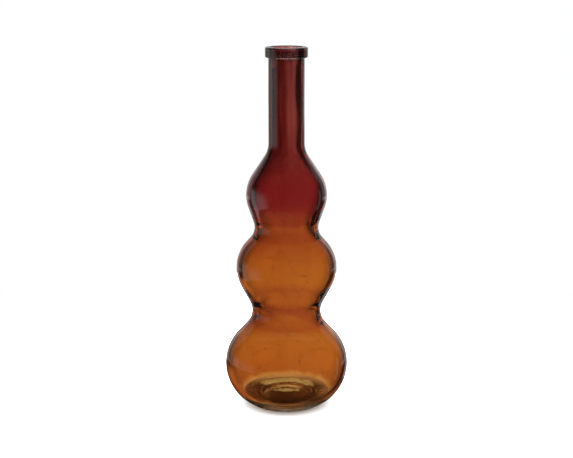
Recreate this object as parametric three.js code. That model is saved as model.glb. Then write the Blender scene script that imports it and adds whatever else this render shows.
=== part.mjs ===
// A bud vase of mould-blown glass: a bottle neck over three stacked bulbs that grow towards the base.
// The glass is hollow from the mouth to a thick, pushed-up base. A film of transparent lacquer covers
// its outside, red over the lip, neck and upper bulb, amber over the two lower bulbs.
// Millimetres, +Z up, origin on the table at the centre of the base.
import * as THREE from "three";

// Driving dimensions.
const HEIGHT = 300;
const NECK_RADIUS = 14.7;
const COAT = 0.3;
const BORE_RADIUS = 9.7;

// The lip ring at the mouth.
const RING_RADIUS = 17.4;
const RING_HEIGHT = 8.4;
const RING_CORNER = 1.2;
const RING_CAP = 3;
const MOUTH_RADIUS = 11.3;
const MOUTH_EDGE = 1;
const MOUTH_TAPER_FOOT = 283;
const MOUTH_TAPER_TOP = 291;
const COAT_STOP_AT_MOUTH = 13;

// The outline rolls round these circles: side 1 is a bulge, side -1 a waist or a shoulder.
const SHOULDER_ROLL = 21.7;
const SHOULDER = { r: NECK_RADIUS + SHOULDER_ROLL, z: 222.8, radius: SHOULDER_ROLL, side: -1 };
const UPPER_BULB = { r: 2.1, z: 179.1, radius: 31, side: 1 };
const UPPER_WAIST = { r: 40.4, z: 152.1, radius: 14.1, side: -1 };
const MIDDLE_BULB = { r: 9.4, z: 117.5, radius: 32.1, side: 1 };
const LOWER_WAIST = { r: 46, z: 81.3, radius: 17.3, side: -1 };
const LOWER_BULB = { r: 13.8, z: 35.5, radius: 37.4, side: 1 };

// The inside rolls round its own circles: thick in the neck and at the waists, where the mould pinched
// the glass, and thinnest in the lower bulb. A waist leaves a way through of this radius.
const UPPER_WAIST_WAY = 20.5;
const LOWER_WAIST_WAY = 23.4;
const INSIDE_LOWER = { r: 13.8, z: 36.3, radius: 34.3, side: 1 };
const INSIDE_LOWER_WAIST = { r: LOWER_WAIST_WAY + 16, z: LOWER_WAIST.z, radius: 16, side: -1 };
const INSIDE_MIDDLE = { ...MIDDLE_BULB, radius: 28.3 };
const INSIDE_UPPER_WAIST = { r: UPPER_WAIST_WAY + 13.5, z: UPPER_WAIST.z, radius: 13.5, side: -1 };
const INSIDE_UPPER = { ...UPPER_BULB, radius: 26.5 };
const INSIDE_SHOULDER = { ...SHOULDER, radius: SHOULDER.r - BORE_RADIUS };

// The base.
const HEEL_RADIUS = 2.1;
const STANDING_RING_INNER = 21.6;
const PUNT_HEIGHT = 7.5;
const FLOOR_CREST = 11.8;
const FLOOR_CORNER = 5.7;
const FLOOR_CORNER_LOW = 10.6;
const BASE_TOP = 14;

// Where the amber film ends above the table, as the direction that the glass faces there, in degrees.
const COAT_FOOT_FACING = -49;

// Facets: how far a flat facet may stand off its true arc, and the largest turn between two facets.
const SEGMENTS = 32;
const CHORD_ERROR = 0.45;
const LARGEST_TURN = Math.PI / 4;

const radians = (degrees) => (degrees * Math.PI) / 180;

// A point on a circle, moved into the glass by depth. The facing angle is that of the outward
// direction, measured up from the horizontal.
function pointOn(circle, facing, depth) {
  const reach = circle.side * circle.radius - depth;
  return new THREE.Vector2(
    circle.r + reach * Math.cos(facing),
    circle.z + reach * Math.sin(facing),
  );
}

// The direction that the straight line between two circles faces, the line that touches both.
function facingBetween(below, above) {
  const dr = above.r - below.r;
  const dz = above.z - below.z;
  const climb = Math.atan2(dz, dr);
  const tilt = (below.side * below.radius - above.side * above.radius) / Math.hypot(dr, dz);
  return climb - Math.acos(tilt);
}

// Points round one circle from one facing angle to another. Their number doesn't depend on depth,
// so the inside of a film and the outside of the glass under it have the same facets.
function roll(circle, from, to, depth) {
  const finest = 2 * Math.acos(1 - Math.min(1, CHORD_ERROR / circle.radius));
  const steps = Math.max(1, Math.ceil(Math.abs(to - from) / Math.min(finest, LARGEST_TURN)));
  const points = [];
  for (let i = 0; i <= steps; i++) {
    points.push(pointOn(circle, from + ((to - from) * i) / steps, depth));
  }
  return points;
}

// The facing angle at which a circle, moved in by depth, crosses a height.
function facingAtHeight(circle, height, depth) {
  return Math.asin((height - circle.z) / (circle.side * circle.radius - depth));
}

const LOWER_TOP = facingBetween(LOWER_BULB, LOWER_WAIST);
const MIDDLE_FOOT = facingBetween(LOWER_WAIST, MIDDLE_BULB);
const MIDDLE_TOP = facingBetween(MIDDLE_BULB, UPPER_WAIST);
const UPPER_FOOT = facingBetween(UPPER_WAIST, UPPER_BULB);
const UPPER_TOP = facingBetween(UPPER_BULB, SHOULDER);
const COAT_FOOT = radians(COAT_FOOT_FACING);
const BASE_CUT = facingAtHeight(LOWER_BULB, BASE_TOP, COAT);

// The outline from below to above. Its stretches meet where the glass faces level, and where the
// two films meet, halfway up the straight slope between the upper waist and the upper bulb.
function lowerStretch(start, depth) {
  return [
    ...roll(LOWER_BULB, start, LOWER_TOP, depth),
    ...roll(LOWER_WAIST, LOWER_TOP, 0, depth),
  ];
}

function middleStretch(depth) {
  return [
    ...roll(LOWER_WAIST, 0, MIDDLE_FOOT, depth),
    ...roll(MIDDLE_BULB, MIDDLE_FOOT, MIDDLE_TOP, depth),
    ...roll(UPPER_WAIST, MIDDLE_TOP, 0, depth),
  ];
}

function coatJoin(depth) {
  return pointOn(UPPER_WAIST, UPPER_FOOT, depth).lerp(pointOn(UPPER_BULB, UPPER_FOOT, depth), 0.5);
}

function joinStretch(depth) {
  return [...roll(UPPER_WAIST, 0, UPPER_FOOT, depth), coatJoin(depth)];
}

function upperStretch(depth) {
  return [
    coatJoin(depth),
    ...roll(UPPER_BULB, UPPER_FOOT, UPPER_TOP, depth),
    ...roll(SHOULDER, UPPER_TOP, 0, depth),
  ];
}

// The inside of each hollow from below to above, cut where it stands upright.
const insideLower = (start) => [
  ...roll(INSIDE_LOWER, start, facingBetween(INSIDE_LOWER, INSIDE_LOWER_WAIST), 0),
  ...roll(INSIDE_LOWER_WAIST, facingBetween(INSIDE_LOWER, INSIDE_LOWER_WAIST), 0, 0),
];

const insideMiddle = () => [
  ...roll(INSIDE_LOWER_WAIST, 0, facingBetween(INSIDE_LOWER_WAIST, INSIDE_MIDDLE), 0),
  ...roll(
    INSIDE_MIDDLE,
    facingBetween(INSIDE_LOWER_WAIST, INSIDE_MIDDLE),
    facingBetween(INSIDE_MIDDLE, INSIDE_UPPER_WAIST),
    0,
  ),
  ...roll(INSIDE_UPPER_WAIST, facingBetween(INSIDE_MIDDLE, INSIDE_UPPER_WAIST), 0, 0),
];

const insideUpper = () => [
  ...roll(INSIDE_UPPER_WAIST, 0, facingBetween(INSIDE_UPPER_WAIST, INSIDE_UPPER), 0),
  ...roll(
    INSIDE_UPPER,
    facingBetween(INSIDE_UPPER_WAIST, INSIDE_UPPER),
    facingBetween(INSIDE_UPPER, INSIDE_SHOULDER),
    0,
  ),
  ...roll(INSIDE_SHOULDER, facingBetween(INSIDE_UPPER, INSIDE_SHOULDER), 0, 0),
];

// The lip ring's outside, from the neck under it, round its two corners, to its flat top.
function ringOutline(depth) {
  const cornerRadius = RING_RADIUS - RING_CORNER;
  const lower = { r: cornerRadius, z: HEIGHT - RING_HEIGHT + RING_CORNER };
  const upper = { r: cornerRadius, z: HEIGHT - RING_CORNER };
  const corner = { radius: RING_CORNER, side: 1 };
  return [
    new THREE.Vector2(NECK_RADIUS - depth, HEIGHT - RING_HEIGHT + depth),
    ...roll({ ...lower, ...corner }, -Math.PI / 2, 0, depth),
    ...roll({ ...upper, ...corner }, 0, Math.PI / 2, depth),
    new THREE.Vector2(COAT_STOP_AT_MOUTH, HEIGHT - depth),
  ];
}

// A solid turned round the Z axis from a closed outline that runs anticlockwise in (radius, height).
function turned(name, outline, material) {
  const points = outline.filter((p, i) => i === 0 || p.distanceTo(outline[i - 1]) > 1e-3);
  const closesOnAxis = points[0].x === 0;
  if (!closesOnAxis) points.push(points[0].clone());
  const geometry = new THREE.LatheGeometry(points, SEGMENTS);
  geometry.rotateX(Math.PI / 2);
  const mesh = new THREE.Mesh(geometry, material);
  mesh.name = name;
  return mesh;
}

// A wall between an outer and an inner run of points, both from below to above.
function shell(name, outer, inner, material) {
  return turned(name, [...outer, ...inner.reverse()], material);
}

const clearGlass = () =>
  new THREE.MeshStandardMaterial({ color: 0xdde6d6, roughness: 0.03, metalness: 0 });
const redLacquer = new THREE.MeshStandardMaterial({ color: 0x7d1517, roughness: 0.06, metalness: 0 });
const amberLacquer = new THREE.MeshStandardMaterial({ color: 0xb8641c, roughness: 0.06, metalness: 0 });

// The ring is laid round the end of the neck and capped over it.
function lipRing() {
  const capFoot = HEIGHT - COAT - RING_CAP;
  const edge = { r: MOUTH_RADIUS + MOUTH_EDGE, z: HEIGHT - COAT - MOUTH_EDGE, radius: MOUTH_EDGE, side: 1 };
  const outline = [
    ...ringOutline(COAT),
    ...roll(edge, Math.PI / 2, Math.PI, 0),
    new THREE.Vector2(MOUTH_RADIUS, capFoot),
    new THREE.Vector2(NECK_RADIUS - COAT, capFoot),
  ];
  return turned("lip_ring", outline, clearGlass());
}

function neck() {
  const top = HEIGHT - COAT - RING_CAP;
  const outer = [
    new THREE.Vector2(NECK_RADIUS - COAT, SHOULDER.z),
    new THREE.Vector2(NECK_RADIUS - COAT, HEIGHT - RING_HEIGHT + COAT),
    new THREE.Vector2(NECK_RADIUS - COAT, top),
  ];
  const inner = [
    new THREE.Vector2(BORE_RADIUS, SHOULDER.z),
    new THREE.Vector2(BORE_RADIUS, MOUTH_TAPER_FOOT),
    new THREE.Vector2(MOUTH_RADIUS, MOUTH_TAPER_TOP),
    new THREE.Vector2(MOUTH_RADIUS, top),
  ];
  return shell("neck", outer, inner, clearGlass());
}

function lowerBulb() {
  const innerCut = facingAtHeight(INSIDE_LOWER, BASE_TOP, 0);
  return shell("lower_bulb", lowerStretch(BASE_CUT, COAT), insideLower(innerCut), clearGlass());
}

// The base: a dome pushed up from below, the ring it stands on, the heel, and inside a floor that
// rises to a crest over the dome and meets the wall in a rounded corner.
function puntedBase() {
  const heelOut = Math.sqrt((LOWER_BULB.radius - HEEL_RADIUS) ** 2 - (LOWER_BULB.z - HEEL_RADIUS) ** 2);
  const heel = { r: LOWER_BULB.r + heelOut, z: HEEL_RADIUS, radius: HEEL_RADIUS, side: 1 };
  const heelTop = Math.atan2(heel.z - LOWER_BULB.z, heel.r - LOWER_BULB.r);

  const puntRadius = (STANDING_RING_INNER ** 2 + PUNT_HEIGHT ** 2) / (2 * PUNT_HEIGHT);
  const punt = { r: 0, z: PUNT_HEIGHT - puntRadius, radius: puntRadius, side: 1 };
  const puntFoot = Math.acos(STANDING_RING_INNER / puntRadius);

  const wall = INSIDE_LOWER;
  const cornerZ = FLOOR_CORNER_LOW + FLOOR_CORNER;
  const cornerOut = Math.sqrt((wall.radius - FLOOR_CORNER) ** 2 - (wall.z - cornerZ) ** 2);
  const corner = { r: wall.r + cornerOut, z: cornerZ, radius: FLOOR_CORNER, side: 1 };
  const cornerTop = Math.atan2(corner.z - wall.z, cornerOut);

  const rise = corner.z - FLOOR_CREST;
  const crestRadius = (corner.r ** 2 + rise ** 2 - FLOOR_CORNER ** 2) / (2 * (FLOOR_CORNER - rise));
  const crest = { r: 0, z: FLOOR_CREST - crestRadius, radius: crestRadius, side: 1 };
  const crestEdge = Math.atan2(corner.z - crest.z, corner.r);

  const innerCut = facingAtHeight(wall, BASE_TOP, 0);
  const outline = [
    ...roll(punt, Math.PI / 2, puntFoot, 0),
    ...roll(heel, -Math.PI / 2, heelTop, 0),
    ...roll(LOWER_BULB, heelTop, COAT_FOOT, 0),
    ...roll(LOWER_BULB, COAT_FOOT, BASE_CUT, COAT),
    ...roll(wall, innerCut, cornerTop, 0),
    ...roll(corner, cornerTop, crestEdge - Math.PI, 0),
    ...roll(crest, crestEdge, Math.PI / 2, 0),
  ];
  outline[0].x = 0;
  outline[outline.length - 1].x = 0;
  return turned("punted_base", outline, clearGlass());
}

function redCoat() {
  const side = (depth) => [...upperStretch(depth), ...ringOutline(depth)];
  return shell("red_lacquer_coat", side(0), side(COAT), redLacquer);
}

function amberCoat() {
  const side = (depth) => [
    ...roll(LOWER_BULB, COAT_FOOT, BASE_CUT, depth),
    ...lowerStretch(BASE_CUT, depth),
    ...middleStretch(depth),
    ...joinStretch(depth),
  ];
  return shell("amber_lacquer_coat", side(0), side(COAT), amberLacquer);
}

const vase = new THREE.Group();
vase.add(
  lipRing(),
  neck(),
  shell("upper_bulb", [...joinStretch(COAT), ...upperStretch(COAT)], insideUpper(), clearGlass()),
  shell("middle_bulb", middleStretch(COAT), insideMiddle(), clearGlass()),
  lowerBulb(),
  puntedBase(),
  redCoat(),
  amberCoat(),
);

export default vase;
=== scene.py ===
"""A bud vase of tinted blown glass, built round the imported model. Metres, +Z up, the model's own frame.

Optics: the two lacquer films and the glass under them have one refractive index, so light bends only
where glass or film meets air. Faces where two of the pieces are bonded together let it straight through.
"""

import math

import bpy
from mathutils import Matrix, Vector

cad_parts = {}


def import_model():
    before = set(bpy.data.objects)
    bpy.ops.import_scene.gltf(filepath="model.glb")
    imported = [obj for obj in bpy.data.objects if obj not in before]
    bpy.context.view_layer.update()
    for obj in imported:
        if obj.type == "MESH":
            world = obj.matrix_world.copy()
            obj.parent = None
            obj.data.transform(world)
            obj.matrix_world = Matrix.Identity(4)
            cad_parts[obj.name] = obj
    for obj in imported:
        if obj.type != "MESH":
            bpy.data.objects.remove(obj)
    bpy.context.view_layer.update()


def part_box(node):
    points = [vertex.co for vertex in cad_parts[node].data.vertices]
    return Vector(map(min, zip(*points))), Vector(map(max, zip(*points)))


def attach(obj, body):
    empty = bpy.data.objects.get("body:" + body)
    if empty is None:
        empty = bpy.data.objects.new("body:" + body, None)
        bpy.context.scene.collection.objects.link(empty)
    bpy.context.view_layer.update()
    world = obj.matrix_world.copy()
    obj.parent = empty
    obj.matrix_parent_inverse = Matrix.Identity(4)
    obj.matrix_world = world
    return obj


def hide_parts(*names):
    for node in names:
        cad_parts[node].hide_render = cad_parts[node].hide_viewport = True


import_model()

MM = 0.001
HALF_TURN = math.pi
QUARTER_TURN = math.pi / 2

# ---------------------------------------------------------------- sizes
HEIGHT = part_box("red_lacquer_coat")[1][2]
SHOULDER_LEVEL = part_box("neck")[0][2]
UPPER_WAIST_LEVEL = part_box("upper_bulb")[0][2]
LOWER_WAIST_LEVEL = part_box("middle_bulb")[0][2]

NECK_RADIUS = 14.7 * MM
FILM = 0.3 * MM
NECK_DEPTH = 5 * MM
BORE_RADIUS = NECK_RADIUS - NECK_DEPTH

# The outline rolls round these circles: side 1 is a bulge, side -1 a waist or a shoulder.
SHOULDER = {"r": 36.4 * MM, "z": SHOULDER_LEVEL, "radius": 21.7 * MM, "side": -1}
UPPER_BULB = {"r": 2.1 * MM, "z": 179.1 * MM, "radius": 31 * MM, "side": 1}
UPPER_WAIST = {"r": 40.4 * MM, "z": UPPER_WAIST_LEVEL, "radius": 14.1 * MM, "side": -1}
MIDDLE_BULB = {"r": 9.4 * MM, "z": 117.5 * MM, "radius": 32.1 * MM, "side": 1}
LOWER_WAIST = {"r": 46 * MM, "z": LOWER_WAIST_LEVEL, "radius": 17.3 * MM, "side": -1}
LOWER_BULB = {"r": 13.8 * MM, "z": 35.5 * MM, "radius": 37.4 * MM, "side": 1}


def hollowed(circle, radius, at_waist=None):
    """A circle for the inside of the wall, round the same height. A waist's is placed by the radius it leaves."""
    r = circle["r"] if at_waist is None else at_waist + radius
    return circle | {"r": r, "radius": radius}


# The wall is thickest where the mould pinched it, and thinnest round the bulbs.
INSIDE = {
    "lower": hollowed(LOWER_BULB, 34.3 * MM) | {"z": 36.3 * MM},
    "lower_waist": hollowed(LOWER_WAIST, 16 * MM, 23.4 * MM),
    "middle": hollowed(MIDDLE_BULB, 28.3 * MM),
    "upper_waist": hollowed(UPPER_WAIST, 13.5 * MM, 20.5 * MM),
    "upper": hollowed(UPPER_BULB, 26.5 * MM),
    "shoulder": hollowed(SHOULDER, SHOULDER["radius"] + NECK_DEPTH),
}

# The lip ring.
RING_RADIUS = 17.4 * MM
RING_HEIGHT = 8.4 * MM
RING_CORNER = 1.2 * MM
RING_CAP = 3 * MM
MOUTH_RADIUS = 11.3 * MM
MOUTH_EDGE = 1 * MM
MOUTH_TAPER_FOOT = 283 * MM
MOUTH_TAPER_TOP = 291 * MM
COAT_STOP_AT_MOUTH = 13 * MM

# The base: the ring it stands on, the dome pushed up inside it, and the floor above.
HEEL_RADIUS = 2.1 * MM
STANDING_RING_INNER = 21.6 * MM
RING_EDGE_RADIUS = 0.75 * MM
PUNT_HEIGHT = 7.5 * MM
FLOOR_CREST = 11.8 * MM
FLOOR_CORNER = 5.7 * MM
FLOOR_CORNER_LOW = 10.6 * MM
COAT_FOOT = math.radians(-49)

# How finely the curves are cut.
SIDES = 128
TURN_STEP = math.radians(2.5)
LENGTH_STEP = 2.5 * MM
SHARP_TURN = math.radians(35)


# ---------------------------------------------------------------- the outline
def point_on(circle, facing, depth):
    """A point on a circle, moved into the glass by depth. Facing is the outward direction's angle
    above the horizontal."""
    reach = circle["side"] * circle["radius"] - depth
    return circle["r"] + reach * math.cos(facing), circle["z"] + reach * math.sin(facing)


def facing_between(below, above):
    """The direction that the straight line touching two circles faces."""
    dr = above["r"] - below["r"]
    dz = above["z"] - below["z"]
    tilt = (below["side"] * below["radius"] - above["side"] * above["radius"]) / math.hypot(dr, dz)
    return math.atan2(dz, dr) - math.acos(tilt)


def roll(circle, start, end, depth=0.0):
    """Points round a circle from one facing angle to another."""
    steps = max(2, math.ceil(abs(end - start) / TURN_STEP))
    return [point_on(circle, start + (end - start) * i / steps, depth) for i in range(steps + 1)]


def line(start, end):
    """Points along a straight stretch, without its first."""
    steps = max(1, math.ceil(math.dist(start, end) / LENGTH_STEP))
    return [
        (start[0] + (end[0] - start[0]) * i / steps, start[1] + (end[1] - start[1]) * i / steps)
        for i in range(1, steps + 1)
    ]


LOWER_TOP = facing_between(LOWER_BULB, LOWER_WAIST)
MIDDLE_FOOT = facing_between(LOWER_WAIST, MIDDLE_BULB)
MIDDLE_TOP = facing_between(MIDDLE_BULB, UPPER_WAIST)
UPPER_FOOT = facing_between(UPPER_WAIST, UPPER_BULB)
UPPER_TOP = facing_between(UPPER_BULB, SHOULDER)


def joined(*stretches):
    """One run of points through several stretches, with straight lines across the gaps."""
    points = list(stretches[0])
    for stretch in stretches[1:]:
        if math.dist(points[-1], stretch[0]) > 0.01 * MM:
            points += line(points[-1], stretch[0])
        points += stretch[1:]
    return points


def coat_join(depth):
    """Where the two films meet, halfway up the straight slope above the upper waist."""
    low = point_on(UPPER_WAIST, UPPER_FOOT, depth)
    high = point_on(UPPER_BULB, UPPER_FOOT, depth)
    return (low[0] + high[0]) / 2, (low[1] + high[1]) / 2


def lower_side(start, depth):
    """The outline from a facing angle on the lower bulb up to the join of the two films."""
    return joined(
        roll(LOWER_BULB, start, LOWER_TOP, depth),
        roll(LOWER_WAIST, LOWER_TOP, MIDDLE_FOOT, depth),
        roll(MIDDLE_BULB, MIDDLE_FOOT, MIDDLE_TOP, depth),
        roll(UPPER_WAIST, MIDDLE_TOP, UPPER_FOOT, depth),
        [coat_join(depth)],
    )


def upper_side(depth, top):
    """The outline from the join of the two films up the neck to a height."""
    return joined(
        [coat_join(depth)],
        roll(UPPER_BULB, UPPER_FOOT, UPPER_TOP, depth),
        roll(SHOULDER, UPPER_TOP, 0, depth),
        [(NECK_RADIUS - depth, top)],
    )


def inside_wall(start, top):
    """The inside of the wall, from a facing angle on the lower bulb up to a height in the neck."""
    circles = list(INSIDE.values())
    turns = [facing_between(*pair) for pair in zip(circles, circles[1:])]
    rolls = [roll(c, a, b) for c, a, b in zip(circles, [start, *turns], [*turns, 0.0], strict=True)]
    taper_foot = [(BORE_RADIUS, MOUTH_TAPER_FOOT)]
    taper_top = [(MOUTH_RADIUS, MOUTH_TAPER_TOP)]
    return joined(*rolls, taper_foot, taper_top, [(MOUTH_RADIUS, top)])


def ring_side(depth):
    """The lip ring's outside, from the neck under it, round its corners, to the end of its top."""
    reach = RING_RADIUS - RING_CORNER
    lower = {"r": reach, "z": HEIGHT - RING_HEIGHT + RING_CORNER, "radius": RING_CORNER, "side": 1}
    upper = {"r": reach, "z": HEIGHT - RING_CORNER, "radius": RING_CORNER, "side": 1}
    return joined(
        [(NECK_RADIUS - depth, HEIGHT - RING_HEIGHT + depth)],
        roll(lower, -QUARTER_TURN, 0, depth),
        roll(upper, 0, QUARTER_TURN, depth),
        [(COAT_STOP_AT_MOUTH, HEIGHT - depth)],
    )


def underside():
    """From the crest of the dome under the base, over the standing ring, to the foot of the film."""
    dome_radius = (STANDING_RING_INNER**2 + PUNT_HEIGHT**2) / (2 * PUNT_HEIGHT)
    dome = {"r": 0, "z": PUNT_HEIGHT - dome_radius, "radius": dome_radius, "side": 1}
    dome_foot = math.acos(STANDING_RING_INNER / dome_radius) + RING_EDGE_RADIUS / dome_radius
    out = math.sqrt((LOWER_BULB["radius"] - HEEL_RADIUS) ** 2 - (LOWER_BULB["z"] - HEEL_RADIUS) ** 2)
    heel = {"r": LOWER_BULB["r"] + out, "z": HEEL_RADIUS, "radius": HEEL_RADIUS, "side": 1}
    heel_top = math.atan2(heel["z"] - LOWER_BULB["z"], out)
    return joined(
        roll(dome, QUARTER_TURN, dome_foot),
        [(STANDING_RING_INNER + RING_EDGE_RADIUS / 2, 0)],
        roll(heel, -QUARTER_TURN, heel_top),
        roll(LOWER_BULB, heel_top, COAT_FOOT),
    )


def inner_floor():
    """From the inside of the lower bulb's wall, round the floor's corner, up to the floor's crest."""
    wall = INSIDE["lower"]
    corner_z = FLOOR_CORNER_LOW + FLOOR_CORNER
    out = math.sqrt((wall["radius"] - FLOOR_CORNER) ** 2 - (wall["z"] - corner_z) ** 2)
    corner = {"r": wall["r"] + out, "z": corner_z, "radius": FLOOR_CORNER, "side": 1}
    corner_top = math.atan2(corner_z - wall["z"], out)
    rise = corner_z - FLOOR_CREST
    crest_radius = (corner["r"] ** 2 + rise**2 - FLOOR_CORNER**2) / (2 * (FLOOR_CORNER - rise))
    crest = {"r": 0, "z": FLOOR_CREST - crest_radius, "radius": crest_radius, "side": 1}
    crest_edge = math.atan2(corner_z - crest["z"], corner["r"])
    floor = joined(
        roll(corner, corner_top, crest_edge - HALF_TURN),
        roll(crest, crest_edge, QUARTER_TURN),
    )
    return corner_top, floor


# ---------------------------------------------------------------- solids of revolution
def unevenness(azimuth, height, pattern):
    """A smooth wandering between about -1 and 1 over the surface, as hand-blown glass has."""
    total = 0.0
    for k in range(1, 8):
        lobes = 1 + (k + pattern) % 5
        waves = 14 + 9 * ((3 * k + pattern) % 7)
        total += math.cos(lobes * azimuth + 2.4 * k + pattern) * math.cos(waves * height * 2 + 1.7 * k)
    return total / 3.5


def fold(azimuth, height):
    """Slanting folds where the hot glass was pinched at the lower waist, between -1 and 1."""
    above = height - LOWER_WAIST_LEVEL
    return math.exp(-((above / WAIST_REACH) ** 2)) * math.cos(FOLD_COUNT * azimuth + FOLD_TWIST * above)


class Waves:
    """How far a surface wanders from true round: more at the pinched waists, fading out towards the rim
    and the foot. Folds is the depth of the folds at the lower waist."""

    def __init__(self, size, pattern, at_waists=1.0, folds=0.0):
        self.size = size
        self.pattern = pattern
        self.at_waists = at_waists
        self.folds = folds

    def push(self, azimuth, height):
        fade = min(1.0, max(0.0, (HEIGHT - 12 * MM - height) / (25 * MM)))
        fade *= min(1.0, max(0.0, (height - 2 * MM) / (14 * MM)))
        for waist in (LOWER_WAIST_LEVEL, UPPER_WAIST_LEVEL):
            near = math.exp(-(((height - waist) / WAIST_REACH) ** 2))
            fade *= 1 + (self.at_waists - 1) * near
        return self.size * fade * unevenness(azimuth, height, self.pattern) + self.folds * fold(azimuth, height)


WAIST_REACH = 9 * MM
FOLD_COUNT = 5
FOLD_TWIST = 260
OUTER_WAVES = Waves(0.10 * MM, 2)
INNER_WAVES = Waves(0.35 * MM, 5, at_waists=2.6, folds=0.35 * MM)


def turned(name, stretches):
    """A closed solid turned about the axis. Stretches are (points, material, waves), in order round
    its section, anticlockwise in (radius, height); one that ends on the axis closes there."""
    points, slots, waves, materials = [], [], [], []
    for run, material, run_waves in stretches:
        if material not in materials:
            materials.append(material)
        if points and math.dist(points[-1], run[0]) <= 0.01 * MM:
            run = run[1:]
            slots[-1] = materials.index(material)
        elif points:
            slots[-1] = materials.index(material)
        points += run
        slots += [materials.index(material)] * len(run)
        waves += [run_waves] * len(run)
    open_ended = points[0][0] < 1e-6
    if not open_ended and math.dist(points[-1], points[0]) <= 0.01 * MM:
        points.pop()
        slots.pop()
        waves.pop()

    vertices, rings = [], []
    for (radius, height), push in zip(points, waves, strict=True):
        if radius < 1e-6:
            rings.append([len(vertices)])
            vertices.append((0, 0, height))
            continue
        ring = []
        for side in range(SIDES):
            azimuth = 2 * math.pi * side / SIDES
            out = radius + (push.push(azimuth, height) if push else 0.0)
            ring.append(len(vertices))
            vertices.append((out * math.cos(azimuth), out * math.sin(azimuth), height))
        rings.append(ring)

    count = len(points)
    last = count - 1 if open_ended else count
    faces, face_slots = [], []
    for i in range(last):
        low, high = rings[i], rings[(i + 1) % count]
        for side in range(SIDES):
            after = (side + 1) % SIDES
            if len(low) == 1:
                faces.append((low[0], high[after], high[side]))
            elif len(high) == 1:
                faces.append((low[side], low[after], high[0]))
            else:
                faces.append((low[side], low[after], high[after], high[side]))
            face_slots.append(slots[i])

    mesh = bpy.data.meshes.new(name)
    mesh.from_pydata(vertices, [], faces)
    for material in materials:
        mesh.materials.append(material)
    mesh.polygons.foreach_set("material_index", face_slots)
    mesh.polygons.foreach_set("use_smooth", [True] * len(faces))
    mark_sharp_rings(mesh, points, rings, open_ended)
    mesh.validate()
    mesh.update()
    piece = bpy.data.objects.new(name, mesh)
    bpy.context.scene.collection.objects.link(piece)
    return piece


def mark_sharp_rings(mesh, points, rings, open_ended):
    """Marks the rings where the section turns a corner, so that the faces each side stay crisp."""
    corners = set()
    count = len(points)
    for i in range(count):
        if open_ended and i in (0, count - 1):
            continue
        before, here, after = points[i - 1], points[i], points[(i + 1) % count]
        into = math.atan2(here[1] - before[1], here[0] - before[0])
        out = math.atan2(after[1] - here[1], after[0] - here[0])
        turn = (out - into + HALF_TURN) % (2 * HALF_TURN) - HALF_TURN
        if abs(turn) > SHARP_TURN:
            corners.update(rings[i])
    sharp = mesh.attributes.new("sharp_edge", "BOOLEAN", "EDGE")
    flags = [edge.vertices[0] in corners and edge.vertices[1] in corners for edge in mesh.edges]
    sharp.data.foreach_set("value", flags)


# ---------------------------------------------------------------- materials
GLASS_IOR = 1.5
CLEAR = (0.95, 0.98, 0.95, 1)
CLEAR_CORD = (0.90, 0.96, 0.91, 1)
DEEP_GLASS = (0.66, 0.55, 0.44, 1)
PEBBLE_SIZE = 2.2 * MM
PEBBLE_RELIEF = 0.25 * MM
CHILLED_TO = 12 * MM
RIPPLE_RELIEF = 0.12 * MM


def new_material(name):
    material = bpy.data.materials.new(name)
    material.use_nodes = True
    return material, material.node_tree.nodes, material.node_tree.links


def glassy(nodes, ior=GLASS_IOR):
    shader = nodes["Principled BSDF"]
    shader.inputs["Transmission Weight"].default_value = 1.0
    shader.inputs["IOR"].default_value = ior
    shader.inputs["Roughness"].default_value = 0.0
    return shader


def clear_material():
    """Faintly green glass: gentle ripples all over, and a pebbled skin where the mould chilled the base."""
    material, nodes, links = new_material("clear_glass")
    shader = glassy(nodes)
    where = nodes.new("ShaderNodeTexCoord")
    split = nodes.new("ShaderNodeSeparateXYZ")
    links.new(where.outputs["Object"], split.inputs[0])

    cords = nodes.new("ShaderNodeTexNoise")
    cords.inputs["Scale"].default_value = 60
    cords.inputs["Detail"].default_value = 2
    links.new(where.outputs["Object"], cords.inputs["Vector"])
    tint = nodes.new("ShaderNodeMix")
    tint.data_type = "RGBA"
    links.new(cords.outputs["Fac"], tint.inputs["Factor"])
    tint.inputs["A"].default_value = CLEAR
    tint.inputs["B"].default_value = CLEAR_CORD

    pebbles = nodes.new("ShaderNodeTexVoronoi")
    pebbles.feature = "SMOOTH_F1"
    pebbles.inputs["Scale"].default_value = 1 / PEBBLE_SIZE
    links.new(where.outputs["Object"], pebbles.inputs["Vector"])
    chilled = nodes.new("ShaderNodeMapRange")
    chilled.inputs["From Min"].default_value = CHILLED_TO
    chilled.inputs["From Max"].default_value = CHILLED_TO - 2 * MM
    links.new(split.outputs["Z"], chilled.inputs["Value"])
    deep = nodes.new("ShaderNodeMix")
    deep.data_type = "RGBA"
    links.new(chilled.outputs[0], deep.inputs["Factor"])
    links.new(tint.outputs["Result"], deep.inputs["A"])
    deep.inputs["B"].default_value = DEEP_GLASS
    links.new(deep.outputs["Result"], shader.inputs["Base Color"])
    relief = nodes.new("ShaderNodeMath")
    relief.operation = "MULTIPLY"
    links.new(pebbles.outputs["Distance"], relief.inputs[0])
    links.new(chilled.outputs[0], relief.inputs[1])
    pebbled = nodes.new("ShaderNodeBump")
    pebbled.inputs["Strength"].default_value = 1.0
    pebbled.inputs["Distance"].default_value = PEBBLE_RELIEF
    links.new(relief.outputs[0], pebbled.inputs["Height"])
    rippled = nodes.new("ShaderNodeBump")
    rippled.inputs["Distance"].default_value = RIPPLE_RELIEF
    links.new(cords.outputs["Fac"], rippled.inputs["Height"])
    links.new(pebbled.outputs[0], rippled.inputs["Normal"])
    links.new(rippled.outputs[0], shader.inputs["Normal"])
    return material


def bond_material():
    material, nodes, _ = new_material("bond")
    shader = glassy(nodes, 1.0)
    shader.inputs["Base Color"].default_value = (1, 1, 1, 1)
    return material


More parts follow.
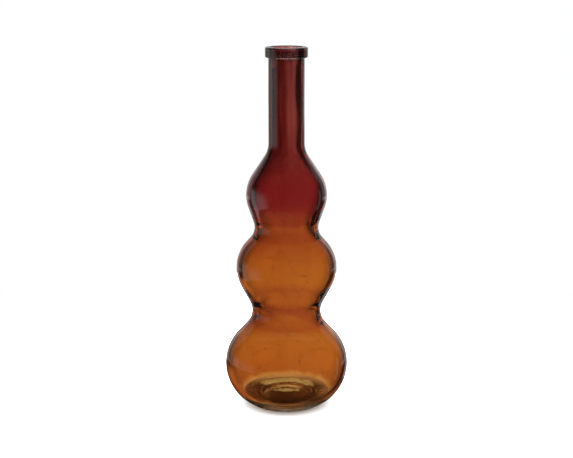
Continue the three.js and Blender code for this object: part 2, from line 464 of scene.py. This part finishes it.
# The lacquer: how far its colours wander up and down, how much it thins and thickens in streaks, how much
# painted light and painted shade lighten and darken the neck's two sides, and the red one's softer gloss.
WANDER = 3 * MM
STREAK_THIN = -0.16
STREAK_THICK = 0.22
# Painted light and shade down the sides: how much lighter the +X side and darker the -X side are made.
SIDE_PAINTED_LIGHT = -0.12
SIDE_PAINTED_SHADE = 0.3
GLOSS_ROUGHNESS = 0.18

# The lacquer's tint for light crossing the vase, by height in millimetres: thin at the foot, amber,
# redder at the lower waist and on the middle bulb's top, a quick change above the upper waist, then
# deepening red.
TINT = (
    (7, (0.82, 0.60, 0.36)),
    (9.5, (0.66, 0.30, 0.08)),
    (12, (0.42, 0.085, 0.0122)),
    (22, (0.46, 0.100, 0.0125)),
    (40, (0.50, 0.122, 0.0135)),
    (65, (0.50, 0.124, 0.0137)),
    (72, (0.34, 0.050, 0.0120)),
    (81, (0.41, 0.080, 0.0126)),
    (89, (0.34, 0.050, 0.0120)),
    (96, (0.50, 0.125, 0.0138)),
    (118, (0.46, 0.108, 0.0128)),
    (130, (0.42, 0.088, 0.0118)),
    (140, (0.37, 0.060, 0.0115)),
    (146, (0.32, 0.045, 0.0108)),
    (150, (0.34, 0.056, 0.0120)),
    (153, (0.37, 0.075, 0.0130)),
    (156.5, (0.34, 0.062, 0.0120)),
    (158.5, (0.26, 0.026, 0.0105)),
    (164, (0.23, 0.020, 0.0105)),
    (168, (0.22, 0.0130, 0.0102)),
    (178, (0.20, 0.0100, 0.0100)),
    (190, (0.22, 0.0125, 0.0115)),
    (200, (0.19, 0.0140, 0.0120)),
    (215, (0.18, 0.0180, 0.0145)),
    (240, (0.19, 0.0215, 0.0165)),
    (290.6, (0.15, 0.0190, 0.0160)),
    (291.2, (0.75, 0.50, 0.48)),
    (291.9, (0.75, 0.50, 0.48)),
    (292.6, (0.38, 0.060, 0.062)),
    (298.6, (0.38, 0.060, 0.062)),
    (299.7, (0.55, 0.25, 0.20)),
)


def film_material(name, gloss=0.0):
    """Transparent lacquer, coloured by height, with sprayed unevenness and faint upright streaks.
    Gloss is how much of a softer clear coat lies over it."""
    material, nodes, links = new_material(name)
    shader = glassy(nodes)
    shader.inputs["Coat Weight"].default_value = gloss
    shader.inputs["Coat Roughness"].default_value = GLOSS_ROUGHNESS
    where = nodes.new("ShaderNodeTexCoord")
    split = nodes.new("ShaderNodeSeparateXYZ")
    links.new(where.outputs["Object"], split.inputs[0])
    noise = nodes.new("ShaderNodeTexNoise")
    noise.inputs["Scale"].default_value = 90
    noise.inputs["Detail"].default_value = 4
    links.new(where.outputs["Object"], noise.inputs["Vector"])
    wander = nodes.new("ShaderNodeMapRange")
    wander.inputs["To Min"].default_value = -WANDER
    wander.inputs["To Max"].default_value = WANDER
    links.new(noise.outputs["Fac"], wander.inputs["Value"])
    # The wandering dies out above the bulbs, so that the line under the ring stays level.
    calm = nodes.new("ShaderNodeMapRange")
    calm.inputs["From Min"].default_value = 230 * MM
    calm.inputs["From Max"].default_value = 210 * MM
    links.new(split.outputs["Z"], calm.inputs["Value"])
    level = nodes.new("ShaderNodeMath")
    level.operation = "MULTIPLY_ADD"
    links.new(wander.outputs[0], level.inputs[0])
    links.new(calm.outputs[0], level.inputs[1])
    links.new(split.outputs["Z"], level.inputs[2])
    share = nodes.new("ShaderNodeMath")
    share.operation = "DIVIDE"
    share.inputs[1].default_value = HEIGHT
    links.new(level.outputs[0], share.inputs[0])
    ramp = nodes.new("ShaderNodeValToRGB")
    stops = ramp.color_ramp.elements
    while len(stops) > 1:
        stops.remove(stops[-1])
    for i, (height, tint) in enumerate(TINT):
        place = height * MM / HEIGHT
        stop = stops[0] if i == 0 else stops.new(place)
        stop.position = place
        stop.color = (*tint, 1)
    links.new(share.outputs[0], ramp.inputs[0])
    stretch = nodes.new("ShaderNodeMapping")
    stretch.inputs["Scale"].default_value = (1, 1, 0.06)
    links.new(where.outputs["Object"], stretch.inputs["Vector"])
    streaks = nodes.new("ShaderNodeTexNoise")
    streaks.inputs["Scale"].default_value = 260
    streaks.inputs["Detail"].default_value = 3
    links.new(stretch.outputs[0], streaks.inputs["Vector"])
    density = nodes.new("ShaderNodeMapRange")
    density.inputs["From Min"].default_value = 0.3
    density.inputs["From Max"].default_value = 0.7
    density.inputs["To Min"].default_value = STREAK_THIN
    density.inputs["To Max"].default_value = STREAK_THICK
    links.new(streaks.outputs["Fac"], density.inputs["Value"])
    fade = nodes.new("ShaderNodeMapRange")
    fade.inputs["From Min"].default_value = 190 * MM
    fade.inputs["From Max"].default_value = 230 * MM
    fade.inputs["To Min"].default_value = 0.1
    links.new(split.outputs["Z"], fade.inputs["Value"])
    # On the neck, painted light and shade: the colour is lightened down the +X side and darkened down the -X
    # side.
    painted_side_shade = nodes.new("ShaderNodeMapRange")
    painted_side_shade.interpolation_type = "SMOOTHSTEP"
    painted_side_shade.inputs["From Min"].default_value = NECK_RADIUS / 4
    painted_side_shade.inputs["From Max"].default_value = -NECK_RADIUS / 3
    painted_side_shade.inputs["To Min"].default_value = SIDE_PAINTED_LIGHT
    painted_side_shade.inputs["To Max"].default_value = SIDE_PAINTED_SHADE
    links.new(split.outputs["X"], painted_side_shade.inputs["Value"])
    # The streaks plus the painted light and shade of the sides.
    side = nodes.new("ShaderNodeMath")
    links.new(painted_side_shade.outputs[0], side.inputs[0])
    links.new(density.outputs[0], side.inputs[1])
    gamma = nodes.new("ShaderNodeMath")
    gamma.operation = "MULTIPLY_ADD"
    gamma.inputs[2].default_value = 1.0
    links.new(side.outputs[0], gamma.inputs[0])
    links.new(fade.outputs[0], gamma.inputs[1])
    deepen = nodes.new("ShaderNodeGamma")
    links.new(ramp.outputs["Color"], deepen.inputs["Color"])
    links.new(gamma.outputs[0], deepen.inputs["Gamma"])
    links.new(deepen.outputs["Color"], shader.inputs["Base Color"])
    return material


CLEAR_GLASS = clear_material()
BOND = bond_material()
RED_FILM = film_material("red_film", gloss=1.0)
AMBER_FILM = film_material("amber_film")


# ---------------------------------------------------------------- pieces
NECK_END = HEIGHT - FILM - RING_CAP
RING_FOOT = HEIGHT - RING_HEIGHT


def glass_body():
    corner_top, floor = inner_floor()
    inner = joined(list(reversed(inside_wall(corner_top, NECK_END))), floor)
    outer = joined(lower_side(COAT_FOOT, FILM), upper_side(FILM, NECK_END), [(MOUTH_RADIUS, NECK_END)])
    return turned(
        "glass_body",
        [
            (underside(), CLEAR_GLASS, None),
            (outer, BOND, OUTER_WAVES),
            (inner, CLEAR_GLASS, INNER_WAVES),
        ],
    )


def lip_ring():
    edge = {"r": MOUTH_RADIUS + MOUTH_EDGE, "z": HEIGHT - FILM - MOUTH_EDGE, "radius": MOUTH_EDGE, "side": 1}
    mouth = joined(
        [ring_side(FILM)[-1]],
        roll(edge, QUARTER_TURN, HALF_TURN),
        [(MOUTH_RADIUS, NECK_END)],
    )
    bonded = [(NECK_RADIUS - FILM, NECK_END), (NECK_RADIUS - FILM, RING_FOOT + FILM)]
    return turned(
        "lip_ring",
        [(ring_side(FILM), BOND, None), (mouth, CLEAR_GLASS, None), (bonded, BOND, None)],
    )


def film_shell(name, side, material):
    """A closed film: its outside shows, its inside is bonded to the glass."""
    return turned(name, [(side(0), material, OUTER_WAVES), (list(reversed(side(FILM))), BOND, OUTER_WAVES)])


def red_side(depth):
    return joined(upper_side(depth, RING_FOOT + depth), ring_side(depth))


def amber_side(depth):
    return lower_side(COAT_FOOT, depth)


body = glass_body()
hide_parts("neck", "upper_bulb", "middle_bulb", "lower_bulb", "punted_base")
ring = lip_ring()
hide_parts("lip_ring")
red = film_shell("red_lacquer", red_side, RED_FILM)
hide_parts("red_lacquer_coat")
amber = film_shell("amber_lacquer", amber_side, AMBER_FILM)
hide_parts("amber_lacquer_coat")
for piece, slot in ((body, "clear_glass"), (ring, "clear_glass"), (red, "red_lacquer"), (amber, "amber_lacquer")):
    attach(piece, "root")


# ---------------------------------------------------------------- stage, lights and camera
SHADE_THROUGH = 34 * MM
SHADE_REFLECTED = 200 * MM
SHADE_REFLECTED_CENTRE = (-0.10, -0.06, 0)
SHADE_EDGE = 4 * MM
# The paper's colour to rays that have met the glass: a painted shadow.
PAINTED_SHADOW_UNDER_VASE = (0.01, 0.01, 0.01)
PAPER_DARK = (0.85, 0.85, 0.85, 1)
PAPER_PALE = (0.88, 0.88, 0.88, 1)
# A painted patch of light on the paper, seen only through the glass. It stands for light that the
# vase gathers there.
GATHERED_AT = (0, 19 * MM, 0)
GATHERED_WIDTH = 22 * MM
GATHERED_DEPTH = 13.5 * MM
GATHERED = 1.6
GATHERED_COLOUR = (0.72, 1.0, 0.95, 1)


def gathered_reach(nodes, links, where):
    """How far out across the gathered patch a point lies: 1 at its edge, which wavers."""
    waver = nodes.new("ShaderNodeTexNoise")
    waver.inputs["Scale"].default_value = 120
    links.new(where.outputs["Object"], waver.inputs["Vector"])
    place = nodes.new("ShaderNodeVectorMath")
    place.operation = "SUBTRACT"
    place.inputs[1].default_value = GATHERED_AT
    links.new(where.outputs["Object"], place.inputs[0])
    scaled = nodes.new("ShaderNodeVectorMath")
    scaled.operation = "MULTIPLY"
    scaled.inputs[1].default_value = (1 / GATHERED_WIDTH, 1 / GATHERED_DEPTH, 0)
    links.new(place.outputs[0], scaled.inputs[0])
    length = nodes.new("ShaderNodeVectorMath")
    length.operation = "LENGTH"
    links.new(scaled.outputs[0], length.inputs[0])
    wavering = nodes.new("ShaderNodeMath")
    wavering.operation = "MULTIPLY_ADD"
    wavering.inputs[1].default_value = 0.8
    links.new(waver.outputs["Fac"], wavering.inputs[0])
    links.new(length.outputs["Value"], wavering.inputs[2])
    level = nodes.new("ShaderNodeMath")
    level.operation = "SUBTRACT"
    level.inputs[1].default_value = 0.4
    links.new(wavering.outputs[0], level.inputs[0])
    return level.outputs[0]


def floor_material():
    """White paper. Rays that have met the glass see it painted dark close under the vase, a painted shadow, and
    past that the studio; through the glass they also see a painted patch of light on it.
    """
    material, nodes, links = new_material("paper")
    paper = nodes["Principled BSDF"]
    paper.inputs["Roughness"].default_value = 0.9
    paper.inputs["Specular IOR Level"].default_value = 0.1
    where = nodes.new("ShaderNodeTexCoord")
    grain = nodes.new("ShaderNodeTexNoise")
    grain.inputs["Scale"].default_value = 400
    links.new(where.outputs["Object"], grain.inputs["Vector"])
    tone = nodes.new("ShaderNodeMix")
    tone.data_type = "RGBA"
    tone.inputs["A"].default_value = PAPER_DARK
    tone.inputs["B"].default_value = PAPER_PALE
    links.new(grain.outputs["Fac"], tone.inputs["Factor"])
    # Rays that have met the glass see the paper painted near black: a painted shadow.
    path = nodes.new("ShaderNodeLightPath")
    shaded = nodes.new("ShaderNodeMix")
    shaded.data_type = "RGBA"
    shaded.inputs["B"].default_value = (*PAINTED_SHADOW_UNDER_VASE, 1)
    links.new(path.outputs["Is Glossy Ray"], shaded.inputs["Factor"])
    links.new(tone.outputs["Result"], shaded.inputs["A"])
    links.new(shaded.outputs["Result"], paper.inputs["Base Color"])
    centre = nodes.new("ShaderNodeMix")
    centre.data_type = "VECTOR"
    centre.inputs[4].default_value = SHADE_REFLECTED_CENTRE
    centre.inputs[5].default_value = (0, 0, 0)
    links.new(path.outputs["Is Transmission Ray"], centre.inputs[0])
    reach = nodes.new("ShaderNodeVectorMath")
    reach.operation = "DISTANCE"
    links.new(where.outputs["Object"], reach.inputs[0])
    links.new(centre.outputs[1], reach.inputs[1])
    edge = nodes.new("ShaderNodeMix")
    edge.data_type = "FLOAT"
    edge.inputs["A"].default_value = SHADE_REFLECTED
    edge.inputs["B"].default_value = SHADE_THROUGH
    links.new(path.outputs["Is Transmission Ray"], edge.inputs["Factor"])
    past = nodes.new("ShaderNodeMath")
    past.operation = "SUBTRACT"
    links.new(reach.outputs["Value"], past.inputs[0])
    links.new(edge.outputs["Result"], past.inputs[1])
    soft = nodes.new("ShaderNodeMapRange")
    soft.inputs["From Min"].default_value = -SHADE_EDGE
    soft.inputs["From Max"].default_value = SHADE_EDGE
    links.new(past.outputs[0], soft.inputs["Value"])
    skip = nodes.new("ShaderNodeMath")
    skip.operation = "MULTIPLY"
    links.new(soft.outputs[0], skip.inputs[0])
    links.new(path.outputs["Is Glossy Ray"], skip.inputs[1])
    clear = nodes.new("ShaderNodeBsdfTransparent")
    lit = nodes.new("ShaderNodeMapRange")
    lit.interpolation_type = "SMOOTHSTEP"
    lit.inputs["From Min"].default_value = 1.15
    lit.inputs["From Max"].default_value = 0.85
    links.new(gathered_reach(nodes, links, where), lit.inputs["Value"])
    cells = nodes.new("ShaderNodeTexVoronoi")
    cells.inputs["Scale"].default_value = 420
    links.new(where.outputs["Object"], cells.inputs["Vector"])
    patchy = nodes.new("ShaderNodeMapRange")
    patchy.inputs["From Max"].default_value = 0.8
    patchy.inputs["To Min"].default_value = GATHERED
    patchy.inputs["To Max"].default_value = GATHERED / 2
    links.new(cells.outputs["Distance"], patchy.inputs["Value"])
    glow = nodes.new("ShaderNodeMath")
    glow.operation = "MULTIPLY"
    links.new(lit.outputs[0], glow.inputs[0])
    links.new(patchy.outputs[0], glow.inputs[1])
    seen = nodes.new("ShaderNodeMath")
    seen.operation = "MULTIPLY"
    links.new(glow.outputs[0], seen.inputs[0])
    links.new(path.outputs["Is Transmission Ray"], seen.inputs[1])
    links.new(seen.outputs[0], paper.inputs["Emission Strength"])
    paper.inputs["Emission Color"].default_value = GATHERED_COLOUR
    mix = nodes.new("ShaderNodeMixShader")
    links.new(skip.outputs[0], mix.inputs["Fac"])
    links.new(paper.outputs[0], mix.inputs[1])
    links.new(clear.outputs[0], mix.inputs[2])
    links.new(mix.outputs[0], nodes["Material Output"].inputs["Surface"])
    return material


def floor():
    """A round white table top, lit to the same white as the studio behind it."""
    mesh = bpy.data.meshes.new("floor")
    vertices = [(0, 0, 0)]
    for side in range(FLOOR_SIDES):
        azimuth = 2 * math.pi * side / FLOOR_SIDES
        vertices.append((FLOOR_RADIUS * math.cos(azimuth), FLOOR_RADIUS * math.sin(azimuth), 0))
    faces = [(0, 1 + side, 1 + (side + 1) % FLOOR_SIDES) for side in range(FLOOR_SIDES)]
    mesh.from_pydata(vertices, [], faces)
    mesh.materials.append(floor_material())
    obj = bpy.data.objects.new("floor", mesh)
    bpy.context.scene.collection.objects.link(obj)


FLOOR_RADIUS = 0.45
FLOOR_SIDES = 96

# The studio round the vase: soft panels, each at a compass bearing from the vase (0 straight behind it,
# clockwise from above), so many degrees to each side, between two heights, with a brightness and with so
# many degrees of blur at its edges.
SEEN_THROUGH_GLASS = (
    (3, 12, -70, 32, 0.5, 9),
    (0, 24, -70, 32, 0.5, 4),
    (-45, 20, -70, -22, 0.9, 3),
    (-90, 24, -70, 25, 0.95, 3),
    (135, 24, -70, 25, 0.95, 3),
)
SEEN_REFLECTED = (
    (24, 11, -70, -13, 0.5, 4),
    (36, 20, -13, -10, 0.5, 2),
    (24, 11, -9, 40, 0.6, 4),
    (46, 11, -9, 40, 0.2, 4),
    (-25, 11, -70, -13, 0.4, 4),
    (-35, 18, -13, -10, 0.4, 2),
    (-22, 8, -9, 40, 0.5, 4),
    (-43, 13, -9, 40, 0.2, 4),
    (-68, 9, -40, 3, 0.5, 5),
    (-98, 20, -40, 2, 0.42, 12),
    (69, 3, -30, 3, 0.3, 2),
    (0, 14, 2, 26, 0.45, 4),
)
DARK_THROUGH_GLASS = 0.08
DARK_REFLECTED = 0.02


def studio(nodes, links, bearing, height, panels, dark):
    """The sum of some soft panels, as a brightness."""

    def ramp(value, start, end):
        node = nodes.new("ShaderNodeMapRange")
        node.interpolation_type = "SMOOTHSTEP"
        node.inputs["From Min"].default_value = math.radians(start)
        node.inputs["From Max"].default_value = math.radians(end)
        links.new(value, node.inputs["Value"])
        return node.outputs[0]

    def maths(operation, first, second):
        node = nodes.new("ShaderNodeMath")
        node.operation = operation
        for socket, value in zip(node.inputs, (first, second)):
            if isinstance(value, float):
                socket.default_value = value
            else:
                links.new(value, socket)
        return node.outputs[0]

    total = None
    for centre, half, low, high, strength, blur in panels:
        away = maths("ABSOLUTE", maths("SUBTRACT", bearing, math.radians(centre)), 0.0)
        across = ramp(away, half + blur, half - blur)
        above = ramp(height, low - blur, low + blur)
        below = ramp(height, high + blur, high - blur)
        panel = maths("MULTIPLY", maths("MULTIPLY", across, maths("MULTIPLY", above, below)), float(strength))
        total = panel if total is None else maths("ADD", total, panel)
    return maths("ADD", total, dark)


def world():
    """White to the camera, bright for lighting the paper, and soft panels in a dark room to the glass."""
    sky = bpy.data.worlds.new("studio")
    bpy.context.scene.world = sky
    sky.use_nodes = True
    nodes, links = sky.node_tree.nodes, sky.node_tree.links
    background = nodes["Background"]
    where = nodes.new("ShaderNodeTexCoord")
    split = nodes.new("ShaderNodeSeparateXYZ")
    links.new(where.outputs["Generated"], split.inputs[0])
    bearing = nodes.new("ShaderNodeMath")
    bearing.operation = "ARCTAN2"
    links.new(split.outputs["X"], bearing.inputs[0])
    links.new(split.outputs["Y"], bearing.inputs[1])
    height = nodes.new("ShaderNodeMath")
    height.operation = "ARCSINE"
    links.new(split.outputs["Z"], height.inputs[0])
    through = studio(nodes, links, bearing.outputs[0], height.outputs[0], SEEN_THROUGH_GLASS, DARK_THROUGH_GLASS)
    reflected = studio(nodes, links, bearing.outputs[0], height.outputs[0], SEEN_REFLECTED, DARK_REFLECTED)
    path = nodes.new("ShaderNodeLightPath")
    glass = nodes.new("ShaderNodeMix")
    glass.data_type = "FLOAT"
    links.new(path.outputs["Is Transmission Ray"], glass.inputs["Factor"])
    links.new(reflected, glass.inputs["A"])
    links.new(through, glass.inputs["B"])
    lights_paper = nodes.new("ShaderNodeMath")
    lights_paper.operation = "MINIMUM"
    lights_paper.inputs[1].default_value = 1.0
    links.new(path.outputs["Diffuse Depth"], lights_paper.inputs[0])
    paper_light = nodes.new("ShaderNodeMapRange")
    paper_light.inputs["To Min"].default_value = PAPER_LIGHT
    paper_light.inputs["To Max"].default_value = PAPER_LIGHT_THROUGH_GLASS
    links.new(path.outputs["Is Transmission Ray"], paper_light.inputs["Value"])
    unseen = nodes.new("ShaderNodeMix")
    unseen.data_type = "FLOAT"
    links.new(lights_paper.outputs[0], unseen.inputs["Factor"])
    links.new(glass.outputs["Result"], unseen.inputs["A"])
    links.new(paper_light.outputs[0], unseen.inputs["B"])
    strength = nodes.new("ShaderNodeMix")
    strength.data_type = "FLOAT"
    strength.inputs["B"].default_value = 1.0
    links.new(path.outputs["Is Camera Ray"], strength.inputs["Factor"])
    links.new(unseen.outputs["Result"], strength.inputs["A"])
    links.new(strength.outputs["Result"], background.inputs["Strength"])
    background.inputs["Color"].default_value = (1, 1, 1, 1)


# How brightly the surroundings light the paper, straight and through the glass.
PAPER_LIGHT = 3.0
PAPER_LIGHT_THROUGH_GLASS = 0.8

OVERHEAD_AT = (0, 0.1, 1.7)
OVERHEAD_AIM = (0, 0.1, 0)
OVERHEAD_SIZE = 3.2
OVERHEAD_RADIANCE = 2.5

CAMERA_AT = (0, -1.080, 0.3855)
CAMERA_LOOKS_DOWN = math.radians(12.29)
CAMERA_LENS_MM = 83.93
CAMERA_SENSOR_MM = 36

MOST_BOUNCES = 40
LEAST_BOUNCES = 20


def area_light(name, place, aim, width, height, radiance):
    """A soft box that lights without being seen. Radiance is how bright it would look, 1 being paper
    white."""
    data = bpy.data.lights.new(name, "AREA")
    data.shape = "RECTANGLE"
    data.size = width
    data.size_y = height
    data.energy = radiance * math.pi * width * height
    obj = bpy.data.objects.new(name, data)
    obj.location = place
    obj.rotation_euler = (Vector(aim) - Vector(place)).to_track_quat("-Z", "Y").to_euler()
    obj.visible_camera = False
    obj.visible_glossy = False
    obj.visible_transmission = False
    bpy.context.scene.collection.objects.link(obj)


def camera():
    data = bpy.data.cameras.new("camera")
    data.sensor_width = CAMERA_SENSOR_MM
    data.lens = CAMERA_LENS_MM
    obj = bpy.data.objects.new("camera", data)
    obj.location = CAMERA_AT
    obj.rotation_euler = (QUARTER_TURN - CAMERA_LOOKS_DOWN, 0, 0)
    bpy.context.scene.collection.objects.link(obj)
    bpy.context.scene.camera = obj


floor()
world()
area_light("overhead", OVERHEAD_AT, OVERHEAD_AIM, OVERHEAD_SIZE, OVERHEAD_SIZE, OVERHEAD_RADIANCE)
camera()

scene = bpy.context.scene
scene.view_settings.view_transform = "Standard"
scene.cycles.max_bounces = MOST_BOUNCES
scene.cycles.min_light_bounces = LEAST_BOUNCES
scene.cycles.transmission_bounces = MOST_BOUNCES
scene.cycles.transparent_max_bounces = MOST_BOUNCES
scene.cycles.use_denoising = True
